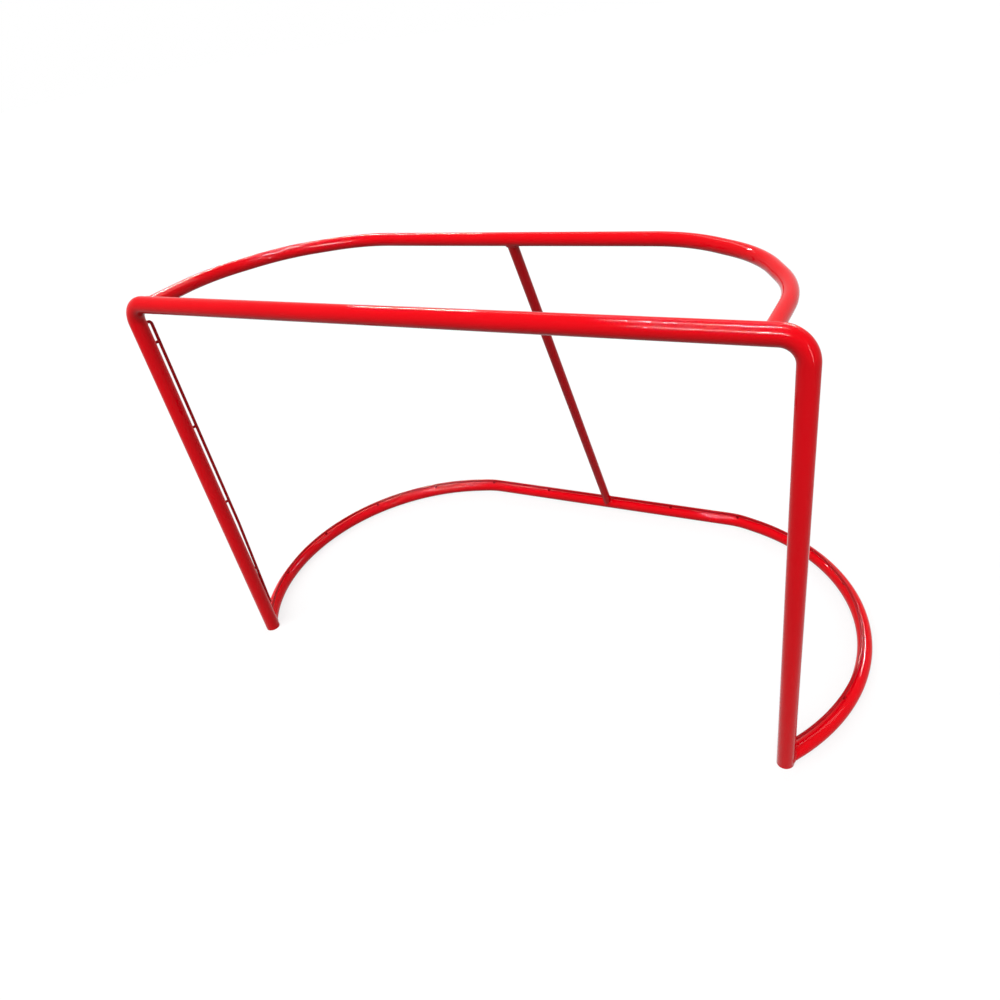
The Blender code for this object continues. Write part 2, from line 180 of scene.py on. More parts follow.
class GoalSizes(bpy.types.PropertyGroup):
    """Sizes of the pipes, rods, studs and beads."""

    front_diameter: length_property(
        "Front pipe", "Diameter of the posts and crossbar", FRONT_HIGH.y - FRONT_LOW.y)
    front_wall: length_property("Front wall", "Wall of the posts and crossbar", 0.0037)
    corner_radius: length_property("Corner radius", "Bend between post and crossbar", 0.057)
    base_diameter: length_property(
        "Base pipe", "Diameter of the base pipe", BASE_HIGH.z - BASE_LOW.z)
    base_wall: length_property("Base wall", "Wall of the base pipe", 0.0030)
    base_splay: angle_property(
        "Base splay", "Angle at which the base leaves a post, from the goal line", 53.5)
    base_lead: length_property("Base lead", "Straight run before the lobe", 0.027)
    lobe_radius: length_property("Lobe radius", "Bend of the base's lobes", 0.646)
    lobe_turn: angle_property("Lobe turn", "How far round a lobe bends", 110.0)
    lobe_link: length_property("Lobe link", "Straight run behind the lobe", 0.037)
    heel_radius: length_property("Heel radius", "Bend into the rear run", 0.280)
    top_diameter: length_property(
        "Top pipe", "Diameter of the top shelf's pipe", TOP_HIGH.z - TOP_LOW.z)
    top_wall: length_property("Top wall", "Wall of the top pipe", 0.0029)
    top_leg: length_property("Top leg", "Straight run behind the crossbar", 0.143)
    top_bends: count_property("Top bends", "Bends at each corner of the shelf", 3)
    top_bend_radius: length_property("Top bend radius", "Radius of each such bend", 0.365)
    top_link: length_property("Top link", "Straight run between two such bends", 0.050)
    strut_diameter: length_property("Strut", "Diameter of the rear strut", 0.03175)
    strut_wall: length_property("Strut wall", "Wall of the rear strut", 0.0026)
    strut_inset: length_property(
        "Strut inset", "How far the strut's foot stays behind the base's front face", 0.00035)
    rod_diameter: length_property("Lacing rod", "Diameter of the lacing rods", 0.0095)
    lacing_gap: length_property("Lacing gap", "Space between a rod and its pipe", 0.0093)
    base_tilt: angle_property("Base rod tilt", "From above the base pipe inwards", 17.3)
    post_tilt: angle_property("Post rod tilt", "From behind the post inwards", 10.0)
    crossbar_tilt: angle_property("Crossbar rod tilt", "From behind the crossbar down", 10.0)
    rod_foot: length_property("Rod foot", "Height of a post rod's lower end", 0.100)
    rod_seat: length_property("Rod seat", "Length that is welded flat to the post", 0.022)
    rod_lean: length_property("Rod lean", "Height where the rod has its full gap", 0.450)
    rod_drop: length_property("Rod drop", "Post rod's top below the crossbar's axis", 0.064)
    hook_radius: length_property("Hook radius", "Bend at a post rod's top", 0.010)
    stud_diameter: length_property("Stud", "Diameter of the studs", 0.0085)
    base_studs: count_property("Base studs", "Studs on each half of the base", 6)
    post_studs: count_property("Post studs", "Studs on each post", 4)
    post_stud_drop: length_property(
        "Post stud drop", "Highest stud below the crossbar's axis", 0.127)
    post_stud_rise: length_property("Post stud rise", "Lowest stud above the seat", 0.139)
    crossbar_studs: count_property("Crossbar studs", "Studs on the crossbar", 6)
    pipe_bead: length_property("Pipe bead", "Leg of the welds between pipes", 0.0046)
    rod_bead: length_property("Rod bead", "Leg of the welds at the rod ends", 0.0026)
    seat_bead: length_property("Seat bead", "Radius of the weld round a rod's seat", 0.0022)
    stud_bead: length_property("Stud bead", "Leg of the fillet round a stud", 0.0012)
    bead_opening: angle_property(
        "Bead opening", "Part under the base pipe that has no bead", 100.0)
    ripple: length_property("Weld ripple", "Pitch of the ripples on a bead", 0.0024)


class GoalFinish(bpy.types.PropertyGroup):
    """Colours and gloss of the powder coat. The strut and rod reds are darker than the pipe red
    as painted shade.
    """

    pipe_red: colour_property("Pipe red", "Powder coat on the pipes", "E40010")
    # The strut's red is painted shade: the strut wears the same coat as the pipes, and this
    # darker red stands for the dimmer light at the back of the goal.
    strut_red: colour_property("Strut red", "Powder coat on the strut", "C2000E")
    # The rods' and studs' red is painted shade: they wear the same coat as the pipes, and this
    # darker red stands for the shade they lie in beside the pipes.
    rod_red: colour_property("Rod red", "Powder coat on the rods and studs", "AC000C")
    weld_red: colour_property("Weld red", "Powder coat over the welds", "D80010")
    depth: share_property("Depth", "How much darker the coat is where it lies thicker", 0.12)
    gloss_roughness: share_property("Roughness", "Roughness of the smooth coat", 0.04)
    weld_roughness: share_property("Weld roughness", "Roughness of the coat on welds", 0.15)
    specular: share_property("Specular", "Strength of the coat's reflections", 0.07)
    peel: length_property("Orange peel", "Width of one dimple in the coat", 0.0040)
    sway: length_property("Pipe sway", "Length of the slow waves in a drawn pipe", 0.060)


class GoalStage(bpy.types.PropertyGroup):
    """Floor, lamps and camera."""

    floor_size: length_property("Floor", "Width of the floor", 60.0)
    floor_colour: colour_property("Floor colour", "Pale studio floor", "F4F4F4")
    sky_strength: FloatProperty(
        name="Sky", description="Light from all round", default=0.20, min=0.0)
    camera_place: FloatVectorProperty(
        name="Camera", description="Where the camera stands", size=3, subtype="XYZ",
        unit="LENGTH", default=(1.1781, -1.9959, 1.8827))
    camera_turn: angle_property("Turn", "To the left of straight back", 30.9)
    camera_tilt: angle_property("Tilt", "Below level", 35.266)
    camera_roll: angle_property("Roll", "Clockwise", 9.502)
    camera_lens: FloatProperty(
        name="Lens", description="Focal length in mm on a 36 mm sensor", default=28.925,
        min=1.0)
    camera_shift: FloatVectorProperty(
        name="Shift", description="Lens shift", size=2, default=(-0.0447, 0.0320))


# Lines of the pipes and rods


def unit(vectors):
    """The same vectors with a length of one."""
    return vectors / np.linalg.norm(vectors, axis=-1, keepdims=True)


def bent_line(start, heading, moves):
    """Axis of a bent pipe in its own plane, as rows of two coordinates.

    A straight run of length l moves by l (cos h, sin h). A bend of radius r passes through
    r (sin(h + t) - sin h, cos h - cos(h + t)) for every part t of its turn.
    """
    runs = [np.array([start], dtype=float)]
    for kind, *sizes in moves:
        place = runs[-1][-1]
        if kind == "straight":
            step = sizes[0] * np.array((math.cos(heading), math.sin(heading)))
            runs.append((place + step)[None])
            continue
        radius, turn = sizes
        count = max(2, math.ceil(abs(turn) / BEND_STEP))
        part = np.linspace(0.0, turn, count + 1)[1:]
        arc = np.stack([np.sin(heading + part) - math.sin(heading),
                        math.cos(heading) - np.cos(heading + part)], axis=1)
        runs.append(place + radius * arc)
        heading += turn
    return np.vstack(runs)


def in_space(plan, origin, across, along):
    """Points of a plane line in space: origin + a across + b along."""
    return origin + plan[:, :1] * across + plan[:, 1:] * along


def both_sides(half):
    """A right half whose last run ends on the middle plane, joined to its mirror image."""
    return np.vstack([half[:-1], (half[:-1] * MIRROR)[::-1]])


def on_side(side, value):
    """A place, direction, line or host of the right side, mirrored for the left side."""
    if side == "right":
        return value
    if isinstance(value, Host):
        return Host(value.point * MIRROR, value.axis * MIRROR, value.radius)
    return value * MIRROR


def back_from_end(points, distance):
    """Point at a distance back from a line's end, and the direction of travel there."""
    runs = np.diff(points, axis=0)
    lengths = np.linalg.norm(runs, axis=1)
    reached = np.concatenate([[0.0], np.cumsum(lengths)])
    place = reached[-1] - distance
    index = int(np.clip(np.searchsorted(reached, place) - 1, 0, len(runs) - 1))
    travel = runs[index] / lengths[index]
    return points[index] + travel * (place - reached[index]), travel


def line_length(points):
    """Length of a line of points."""
    return float(np.linalg.norm(np.diff(points, axis=0), axis=1).sum())


def evenly(points, step):
    """The same line with points a step apart, found by length along it."""
    lengths = np.linalg.norm(np.diff(points, axis=0), axis=1)
    reached = np.concatenate([[0.0], np.cumsum(lengths)])
    places = np.linspace(0.0, reached[-1], max(2, round(reached[-1] / step)))
    return np.stack([np.interp(places, reached, points[:, axis]) for axis in range(3)], axis=1)


class GoalLines:
    """Axes of the right side's pipes and rods, from the sizes and the frame's boxes."""

    def __init__(self, sizes):
        self.sizes = sizes
        self.front_radius = sizes.front_diameter / 2
        self.base_radius = sizes.base_diameter / 2
        self.top_radius = sizes.top_diameter / 2
        self.strut_radius = sizes.strut_diameter / 2
        self.rod_radius = sizes.rod_diameter / 2
        front_y = (FRONT_LOW.y + FRONT_HIGH.y) / 2
        self.post = np.array((FRONT_HIGH.x - self.front_radius, front_y, 0.0))
        self.crossbar = np.array((0.0, front_y, FRONT_HIGH.z - self.front_radius))
        self.leg = np.array((TOP_HIGH.x - self.top_radius, front_y, self.crossbar[2]))
        self.base_way = RIGHT * math.cos(sizes.base_splay) + BACK * math.sin(sizes.base_splay)
        self.rod_reach = self.front_radius + sizes.lacing_gap + self.rod_radius
        self.seat_reach = self.front_radius + self.rod_radius
        self.seat_top = sizes.rod_foot + sizes.rod_seat
        self.base_rod_reach = self.base_radius + sizes.lacing_gap + self.rod_radius
        self.post_rod_way = BACK * math.cos(sizes.post_tilt) - RIGHT * math.sin(sizes.post_tilt)
        self.crossbar_rod_way = (
            BACK * math.cos(sizes.crossbar_tilt) - UP * math.sin(sizes.crossbar_tilt))
        self.hook_z = self.crossbar[2] - sizes.rod_drop
        self.post_host = Host(self.post, UP, self.front_radius)
        self.crossbar_host = Host(self.crossbar, RIGHT, self.front_radius)
        self.leg_host = Host(self.leg, BACK, self.top_radius)
        self.top_back_host = Host(self.top_half()[-1], RIGHT, self.top_radius)
        self.base_back_host = Host(self.base_half()[-1], RIGHT, self.base_radius)
        head, foot = self.strut()
        self.strut_host = Host(head, unit(head - foot), self.strut_radius)

    def front(self):
        """Up the right post, over the crossbar and down the left post."""
        corner = self.sizes.corner_radius
        plan = bent_line((self.post[0], 0.0), QUARTER, [
            ("straight", self.crossbar[2] - corner),
            ("bend", corner, QUARTER),
            ("straight", self.post[0] - corner),
        ])
        return both_sides(in_space(plan, BACK * self.post[1], RIGHT, UP))

    def base_half(self, inward=0.0, height=None):
        """Right half of the base, moved sideways towards the inside of the goal."""
        sizes = self.sizes
        splay = sizes.base_splay
        start = (self.post[0] - inward * math.sin(splay),
                 self.post[1] + inward * math.cos(splay))
        plan = bent_line(start, splay, [
            ("straight", sizes.base_lead),
            ("bend", sizes.lobe_radius - inward, sizes.lobe_turn),
            ("straight", sizes.lobe_link),
            ("bend", sizes.heel_radius - inward, 2 * QUARTER - splay - sizes.lobe_turn),
        ])
        plan = np.vstack([plan, (0.0, plan[-1, 1])])
        height = self.base_radius if height is None else height
        return in_space(plan, UP * height, RIGHT, BACK)

    def top_half(self):
        """Right half of the top shelf, from the crossbar to the middle of the back."""
        sizes = self.sizes
        moves = [("straight", sizes.top_leg)]
        for number in range(sizes.top_bends):
            if number:
                moves.append(("straight", sizes.top_link))
            moves.append(("bend", sizes.top_bend_radius, QUARTER / sizes.top_bends))
        plan = bent_line(self.leg[:2], QUARTER, moves)
        plan = np.vstack([plan, (0.0, plan[-1, 1])])
        return in_space(plan, UP * self.leg[2], RIGHT, BACK)

    def strut(self):
        """From the top pipe's axis down to a foot just ahead of the base pipe's axis."""
        forward = self.base_radius - self.strut_radius - self.sizes.strut_inset
        return np.stack([self.top_half()[-1], self.base_half()[-1] - BACK * forward])

    def base_rod(self):
        """Rod beside the right half of the base, from the post to the strut."""
        inward = self.base_rod_reach * math.sin(self.sizes.base_tilt)
        rise = self.base_rod_reach * math.cos(self.sizes.base_tilt)
        return self.base_half(inward, self.base_radius + rise)

    def post_rod(self):
        """Rod behind the right post: seated foot, slow lean, long straight and hooked top."""
        sizes = self.sizes
        hook = sizes.hook_radius
        seat = [(self.seat_reach, sizes.rod_foot), (self.seat_reach, self.seat_top)]
        above = bent_line((self.rod_reach, sizes.rod_lean), QUARTER, [
            ("straight", self.hook_z - hook - sizes.rod_lean),
            ("bend", hook, QUARTER),
            ("straight", self.rod_reach - hook),
        ])
        return in_space(np.vstack([seat, above]), self.post, self.post_rod_way, UP)

    def post_rod_reach(self, height):
        """Distance from a post's axis to its rod's axis at a height."""
        return float(np.interp(height, (self.seat_top, self.sizes.rod_lean),
                               (self.seat_reach, self.rod_reach)))

    def crossbar_rod(self):
        """Rod behind the crossbar, from one leg of the top pipe to the other."""
        middle = self.crossbar + self.crossbar_rod_way * self.rod_reach
        return np.stack([middle + RIGHT * self.leg[0], middle - RIGHT * self.leg[0]])


# Surfaces


def travel_along(points):
    """Direction of travel at each point of a line: at a corner, the mean of its two runs."""
    runs = unit(np.diff(points, axis=0))
    return unit(np.vstack([runs[:1], runs[:-1] + runs[1:], runs[-1:]]))


def circles(points, travel, normal, radius, count):
    """A ring round each point of a line that lies in the plane with this normal.

    At an angle a the ring passes p + r (side cos a + normal sin a), where side is
    normal x travel.
    """
    angle = np.linspace(0.0, 2 * np.pi, count, endpoint=False)[None, :, None]
    side = np.cross(normal, travel)[:, None, :]
    return points[:, None, :] + radius * (np.cos(angle) * side + np.sin(angle) * normal)


def landed(points, away, host):
    """Points moved along away until they lie on a host's round surface.

    For a place x beside the host's axis, and s the direction across that axis, they end at
    sqrt(R^2 - (x . s)^2) along away.
    """
    across = unit(np.cross(away, host.axis))
    beside = points - host.point
    room = np.maximum(host.radius ** 2 - (beside @ across) ** 2, 0.0)
    return points + (np.sqrt(room) - beside @ away)[..., None] * away


def rim(point, away, travel, normal, radii, count):
    """Rings over a square end: edges of radius e at a width r - e (1 - cos t) and a height
    e (1 - sin t).

    radii holds the outer radius and, for a pipe, the bore's, whose edge is rounded too.
    """
    turn = np.radians(RIM_TURNS)
    width = radii[0] - EDGE * (1 - np.cos(turn))
    height = EDGE * (1 - np.sin(turn))
    if len(radii) > 1:
        bore = radii[1] + EDGE * (1 - np.cos(turn))
        width = np.concatenate([width, bore[::-1]])
        height = np.concatenate([height, height[::-1]])
    centres = point + height[:, None] * away
    travels = np.repeat(travel[None], len(height), axis=0)
    return circles(centres, travels, normal, width[:, None, None], count)


def bar_rings(line, normal, radius, hosts, count):
    """Rings along a bar. Each end lies on its host, or stops just short of a rounded rim."""
    travel = travel_along(line)
    rings = circles(line, travel, normal, radius, count)
    for end, away, host in ((0, travel[0], hosts[0]), (-1, -travel[-1], hosts[1])):
        rings[end] = landed(rings[end], away, host) if host else rings[end] + EDGE * away
    return rings, travel


def pipe_skin(line, normal, outer, wall, hosts=(None, None)):
    """Hollow pipe as one grid that closes up: out along its wall and back along its bore."""
    radii = (outer, outer - wall)
    outside, travel = bar_rings(line, normal, radii[0], hosts, PIPE_SIDES)
    bore, _ = bar_rings(line, normal, radii[1], hosts, PIPE_SIDES)
    rows = [outside, bore[::-1]]
    if not hosts[1]:
        rows.insert(1, rim(line[-1], -travel[-1], travel[-1], normal, radii, PIPE_SIDES))
    if not hosts[0]:
        rows.append(rim(line[0], travel[0], travel[0], normal, radii, PIPE_SIDES)[::-1])
    return skin(np.vstack(rows), wrap=True)


def bar_skin(line, normal, radius, hosts):
    """Solid round bar whose ends close on a pole."""
    rings, travel = bar_rings(line, normal, radius, hosts, ROD_SIDES)
    rows = [rings]
    poles = []
    for end, away, host in ((0, travel[0], hosts[0]), (-1, -travel[-1], hosts[1])):
        poles.append(landed(line[end], away, host) if host else line[end])
        if not host:
            edge = rim(line[end], away, travel[end], normal, (radius,), ROD_SIDES)
            rows = rows + [edge] if end else [edge[::-1]] + rows
    return skin(np.vstack(rows), poles=poles)


def stud_skin(foot, way, along, pipe_radius, reach, rod_radius, radius, fillet):
    """Round pin between a pipe and the rod beside it, with a small fillet at both ends.

    Up the pin, from t = 0 to 1, its radius is r + f e^(-h/f) + g e^(-(H - h)/g). Round it, at
    an angle a, it starts at sqrt(R^2 - (r cos a)^2) from the pipe's axis and stops at the
    same form of the rod, so both ends follow the round surfaces.
    """
    part = np.linspace(0.0, 1.0, STUD_ROWS)[:, None]
    part = (1 - np.cos(np.pi * part)) / 2
    angle = np.linspace(0.0, 2 * np.pi, STUD_SIDES, endpoint=False)[None, :]
    gap = reach - pipe_radius - rod_radius
    head = min(fillet, ROD_COVER * rod_radius - radius)
    width = (radius + fillet * np.exp(-part * gap / fillet)
             + head * np.exp(-(1 - part) * gap / head))
    aside = width * np.cos(angle)
    low = np.sqrt(pipe_radius ** 2 - aside ** 2)
    high = reach - np.sqrt(np.maximum(rod_radius ** 2 - aside ** 2, 0.0))
    height = low + part * (high - low)
    across = np.cross(way, along)
    grid = (foot + height[..., None] * way + aside[..., None] * across
            + (width * np.sin(angle))[..., None] * along)
    poles = [foot + way * (pipe_radius - fillet), foot + way * (reach - rod_radius + head)]
    return skin(grid, poles=poles)


def seam(host, start, away, radius, turns):
    """Seam of a round branch on its host, and both outward normals along it.

    The branch's axis passes through start. With s and h the directions across and along the
    host, the seam passes c + s x + h r sin a + away sqrt(R^2 - x^2) at an angle a, where
    x = r cos a + offset.
    """
    across = unit(np.cross(away, host.axis))
    corner = host.point + host.axis * ((start - host.point) @ host.axis)
    offset = (start - corner) @ across
    cos, sin = np.cos(turns)[:, None], np.sin(turns)[:, None]
    x = np.clip(radius * cos + offset, -host.radius, host.radius)
    reach = np.sqrt(host.radius ** 2 - x ** 2)
    points = corner + x * across + radius * sin * host.axis + reach * away
    return points, (x * across + reach * away) / host.radius, cos * across + sin * host.axis


def bead_skin(points, host_out, branch_out, leg, pitch, closed):
    """Rippled fillet along a seam.

    With u and v the directions along the host's and the branch's surface, the face passes
    p + l m (u cos q + v sin q) for q through a quarter turn. Its swell m is 1 - flat sin^2 2q,
    times 1 + ripple |sin(pi n)|, where n counts the ripples and lags in the middle of the
    bead. Both toes dip below the surfaces, and the section closes inside the walls.
    """
    steps = np.linalg.norm(np.roll(points, -1, axis=0) - points, axis=1)
    total = steps.sum() if closed else steps[:-1].sum()
    place = np.concatenate([[0.0], np.cumsum(steps[:-1])])[:, None]
    ripples = max(FEWEST_RIPPLES, round(total / pitch))
    count = place / total * ripples
    turn = np.linspace(-BEAD_DIP, QUARTER + BEAD_DIP, BEAD_SECTION)[None, :]
    middle = np.sin(2 * np.clip(turn, 0.0, QUARTER))
    ripple = np.abs(np.sin(np.pi * (count - RIPPLE_CURL * middle))) - RIPPLE_MEAN
    hand = 1 + HAND_SWAY * np.sin(2 * np.pi * HAND_WAVES * place / total + middle)
    swell = (1 - BEAD_FLATNESS * middle ** 2) * (1 + RIPPLE_HEIGHT * middle * ripple) * hand
    if not closed:
        inset = 1 - np.clip(np.minimum(place, total - place) / (END_TAPER * leg), 0.0, 1.0)
        swell = swell * np.maximum(np.sqrt(1 - inset ** 2), END_SWELL)
    along_host = unit(branch_out - (branch_out * host_out).sum(1, keepdims=True) * host_out)
    along_branch = unit(host_out - (branch_out * host_out).sum(1, keepdims=True) * branch_out)
    face = (np.cos(turn)[..., None] * along_host[:, None, :]
            + np.sin(turn)[..., None] * along_branch[:, None, :])
    grid = points[:, None, :] + leg * swell[..., None] * face
    inside = points - leg * BEAD_ROOT * unit(along_host + along_branch)
    grid = np.concatenate([grid, inside[:, None, :]], axis=1)
    if closed:
        return skin(grid, wrap=True)
    return skin(grid, poles=[grid[0].mean(axis=0), grid[-1].mean(axis=0)])


def skin(grid, wrap=False, poles=()):
    """Corners and faces of a grid whose rows are rings. wrap closes last row to first.

    Two poles close an open grid with fans. The faces are turned round if the closed form's
    volume, the sum of a . (b x c) / 6 over its triangles, comes out negative.
    """
    rows, columns = grid.shape[:2]
    corners = grid.reshape(-1, 3)
    number = np.arange(rows * columns).reshape(rows, columns)
    if wrap:
        number = np.vstack([number, number[:1]])
    near, far = number[:-1], number[1:]
    quads = np.stack([near, np.roll(near, -1, 1), np.roll(far, -1, 1), far], axis=-1)
    quads = quads.reshape(-1, 4)
    fans = np.empty((0, 3), dtype=int)
    if len(poles):
        first, last = number[0], number[-1]
        pole = np.full(columns, len(corners))
        fans = np.vstack([np.stack([np.roll(first, -1), first, pole], axis=-1),
                          np.stack([last, np.roll(last, -1), pole + 1], axis=-1)])
        corners = np.vstack([corners, poles])
    triangles = np.vstack([quads[:, :3], quads[:, [0, 2, 3]], fans])
    a, b, c = (corners[triangles[:, index]] for index in range(3))
    faces = quads.tolist() + fans.tolist()
    if (a * np.cross(b, c)).sum() < 0:
        faces = [face[::-1] for face in faces]
    return corners, faces


# Materials


def socket(sockets, identifier):
    """The socket with this identifier, which is its own even where names repeat."""
    return next(found for found in sockets if found.identifier == identifier)


def add_node(tree, kind, inputs, output=None, **settings):
    """Add a shader node and give back one of its outputs.

    An input is a value, or the output socket that it is linked from.
    """
    node = tree.nodes.new(kind)
    for name, value in settings.items():
        setattr(node, name, value)
    for identifier, value in inputs.items():
        target = socket(node.inputs, identifier)
        if isinstance(value, bpy.types.NodeSocket):
            tree.links.new(value, target)
        else:
            target.default_value = value
    return socket(node.outputs, output) if output else None


def empty_material(name):
    """The material of this name, with an empty node tree."""
    material = bpy.data.materials.get(name) or bpy.data.materials.new(name)
    material.use_nodes = True
    material.node_tree.nodes.clear()
    return material


def powder_coat(piece, finish):
    """Polyester powder coat, sprayed on steel as dust and baked to a thick gloss film.

    It gives a deep, even red with clear reflections. The melt sets with orange peel, a net of
    shallow dimples about 2 mm wide that makes the edges of reflections waver. They are drawn
    twice as wide, or they would be lost in the picture. The pipe below has slow waves from
    drawing and bending, and the red is a little darker where the film lies thicker.
    """
    # The strut's and the rods' reds carry painted shade; the pipes' and welds' reds are the
    # coat's own colour.
    red = getattr(finish, piece + "_red")
    roughness = finish.weld_roughness if piece == "weld" else finish.gloss_roughness
    material = empty_material(piece + "_gloss_powder_coat")
    tree = material.node_tree
    place = add_node(tree, "ShaderNodeTexCoord", {}, "Object")
    film = add_node(tree, "ShaderNodeTexNoise", {
        "Vector": place, "Scale": 1 / FILM_PATCH, "Detail": 2.0}, "Fac")
    deep = [value * (1 - finish.depth) for value in red]
    colour = add_node(tree, "ShaderNodeMix", {
        "Factor_Float": film, "A_Color": (*red, 1.0), "B_Color": (*deep, 1.0),
    }, "Result_Color", data_type="RGBA")
    haze = add_node(tree, "ShaderNodeTexNoise", {
        "Vector": place, "Scale": 1 / HAZE_PATCH, "Detail": 3.0}, "Fac")
    gloss = add_node(tree, "ShaderNodeMapRange", {
        "Value": haze, "From Min": HAZE_NOISE[0], "From Max": HAZE_NOISE[1],
        "To Min": roughness * HAZE_ROUGHNESS[0],
        "To Max": roughness * HAZE_ROUGHNESS[1]}, "Result")
    wave = add_node(tree, "ShaderNodeTexNoise", {
        "Vector": place, "Scale": 1 / finish.sway, "Detail": 0.0}, "Fac")
    slow = add_node(tree, "ShaderNodeBump", {
        "Height": wave, "Strength": 1.0, "Distance": WAVE_HEIGHT}, "Normal")
    dimple = add_node(tree, "ShaderNodeTexNoise", {
        "Vector": place, "Scale": 1 / finish.peel, "Detail": 1.0}, "Fac")
    peel = add_node(tree, "ShaderNodeBump", {
        "Height": dimple, "Strength": 1.0, "Distance": PEEL_HEIGHT, "Normal": slow}, "Normal")
    shader = add_node(tree, "ShaderNodeBsdfPrincipled", {
        "Base Color": colour, "Roughness": gloss, "Normal": peel,
        "Specular IOR Level": finish.specular}, "BSDF")
    add_node(tree, "ShaderNodeOutputMaterial", {"Surface": shader})
    return material


def shown_rays(tree):
    """1 for rays from the camera and for those that gloss or glass sends on, else 0."""
    path = tree.nodes.new("ShaderNodeLightPath")
    glossy = add_node(tree, "ShaderNodeMath", {
        "Value": path.outputs["Is Camera Ray"], "Value_001": path.outputs["Is Glossy Ray"],
    }, "Value", operation="ADD")
    return add_node(tree, "ShaderNodeMath", {
        "Value": glossy, "Value_001": path.outputs["Is Transmission Ray"],
    }, "Value", operation="ADD", use_clamp=True)


def studio_floor(stage):
    """Matt pale paint: light falls on it softly, with a faint mottle from the roller.

    Where it is seen it glows by the light that it lacks to be white, so the goal's shadow
    still shows on it.
    """
    material = empty_material("studio_floor_paint")
    tree = material.node_tree
    place = add_node(tree, "ShaderNodeTexCoord", {}, "Object")
    mottle = add_node(tree, "ShaderNodeTexNoise", {
        "Vector": place, "Scale": 1 / FLOOR_PATCH, "Detail": 3.0}, "Fac")
    dim = [value * FLOOR_MOTTLE for value in stage.floor_colour]
    colour = add_node(tree, "ShaderNodeMix", {
        "Factor_Float": mottle, "A_Color": (*stage.floor_colour, 1.0),
        "B_Color": (*dim, 1.0)}, "Result_Color", data_type="RGBA")
    paint = add_node(tree, "ShaderNodeBsdfDiffuse", {"Color": colour}, "BSDF")
    glow = add_node(tree, "ShaderNodeEmission", {"Color": WHITE, "Strength": 1.0}, "Emission")
    seen = add_node(tree, "ShaderNodeMixShader", {
        "Fac": FLOOR_GLOW, "Shader": paint, "Shader_001": glow}, "Shader")
    dark = [value * FLOOR_BOUNCE for value in stage.floor_colour]
    unseen = add_node(tree, "ShaderNodeBsdfDiffuse", {"Color": (*dark, 1.0)}, "BSDF")
    surface = add_node(tree, "ShaderNodeMixShader", {
        "Fac": shown_rays(tree), "Shader": unseen, "Shader_001": seen}, "Shader")
    add_node(tree, "ShaderNodeOutputMaterial", {"Surface": surface})
    return material


def studio_world(stage):
    """Even light from all round, and a white backdrop where it is seen."""
    world = bpy.data.worlds.get("studio_world") or bpy.data.worlds.new("studio_world")
    world.use_nodes = True
    tree = world.node_tree
    tree.nodes.clear()
    light = add_node(tree, "ShaderNodeBackground", {
        "Color": WHITE, "Strength": stage.sky_strength}, "Background")
    seen = add_node(tree, "ShaderNodeBackground", {
        "Color": WHITE, "Strength": 1.0}, "Background")
    surface = add_node(tree, "ShaderNodeMixShader", {
        "Fac": shown_rays(tree), "Shader": light, "Shader_001": seen}, "Shader")
    add_node(tree, "ShaderNodeOutputWorld", {"Surface": surface})
    bpy.context.scene.world = world


# Pieces


def add_object(name, data):
    """An object in the scene, in place of any older one of that name."""
    old = bpy.data.objects.get(name)
    if old:
        bpy.data.objects.remove(old, do_unlink=True)
    thing = bpy.data.objects.new(name, data)
    bpy.context.scene.collection.objects.link(thing)
    return thing


def add_mesh(name, corners, faces, material):
    """A smooth object with its place in its mesh."""
    mesh = bpy.data.meshes.new(name)
    mesh.from_pydata(corners.tolist(), [], faces)
    mesh.shade_smooth()
    mesh.set_sharp_from_angle(angle=SMOOTH_ANGLE)
    mesh.materials.append(material)
    return add_object(name, mesh)


def add_piece(node, surface, material):
    """The dressed form of a frame node, which it replaces. It rides on the goal."""
    piece = add_mesh(node + "_coated", *surface, material)
    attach(piece, "root")
    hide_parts(node)


def ring_bead(node, side, host, start, away, radius, leg, sizes, material):
    """A bead all the way round a branch, on one side of the goal."""
    ripples = max(FEWEST_RIPPLES, round(2 * np.pi * radius / sizes.ripple))
    turns = np.linspace(0.0, 2 * np.pi, RIPPLE_SAMPLES * ripples, endpoint=False)
    line = seam(host, start, away, radius, turns)
    line = [on_side(side, part) for part in line]
    add_piece(node, bead_skin(*line, leg, sizes.ripple, True), material)


class GoalOperator:
    """What the operators of the goal's pieces share: the sizes, the lines and the coat."""

    bl_options = {"REGISTER", "UNDO"}

    def read(self, context, piece):
        """Take sizes and colours from the sidebar: piece is pipe, strut, rod or weld."""
        self.sizes = context.scene.goal_sizes
        self.goal = GoalLines(self.sizes)
        self.coat = powder_coat(piece, context.scene.goal_finish)


class GOAL_OT_front_pipe(GoalOperator, bpy.types.Operator):
    """Make the pipe that is both posts and the crossbar"""

    bl_idname = "goal.front_pipe"
    bl_label = "Front pipe"

    def execute(self, context):
        self.read(context, "pipe")
        goal = self.goal
        surface = pipe_skin(goal.front(), -BACK, goal.front_radius, self.sizes.front_wall)
        add_piece("front_tube", surface, self.coat)
        return {"FINISHED"}


class GOAL_OT_base_pipe(GoalOperator, bpy.types.Operator):
    """Make the pipe that lies on the ice, with its two lobes"""

    bl_idname = "goal.base_pipe"
    bl_label = "Base pipe"

    def execute(self, context):
        self.read(context, "pipe")
        goal = self.goal
        hosts = (goal.post_host, on_side("left", goal.post_host))
        surface = pipe_skin(both_sides(goal.base_half()), UP, goal.base_radius,
                            self.sizes.base_wall, hosts)
        add_piece("base_tube", surface, self.coat)
        return {"FINISHED"}


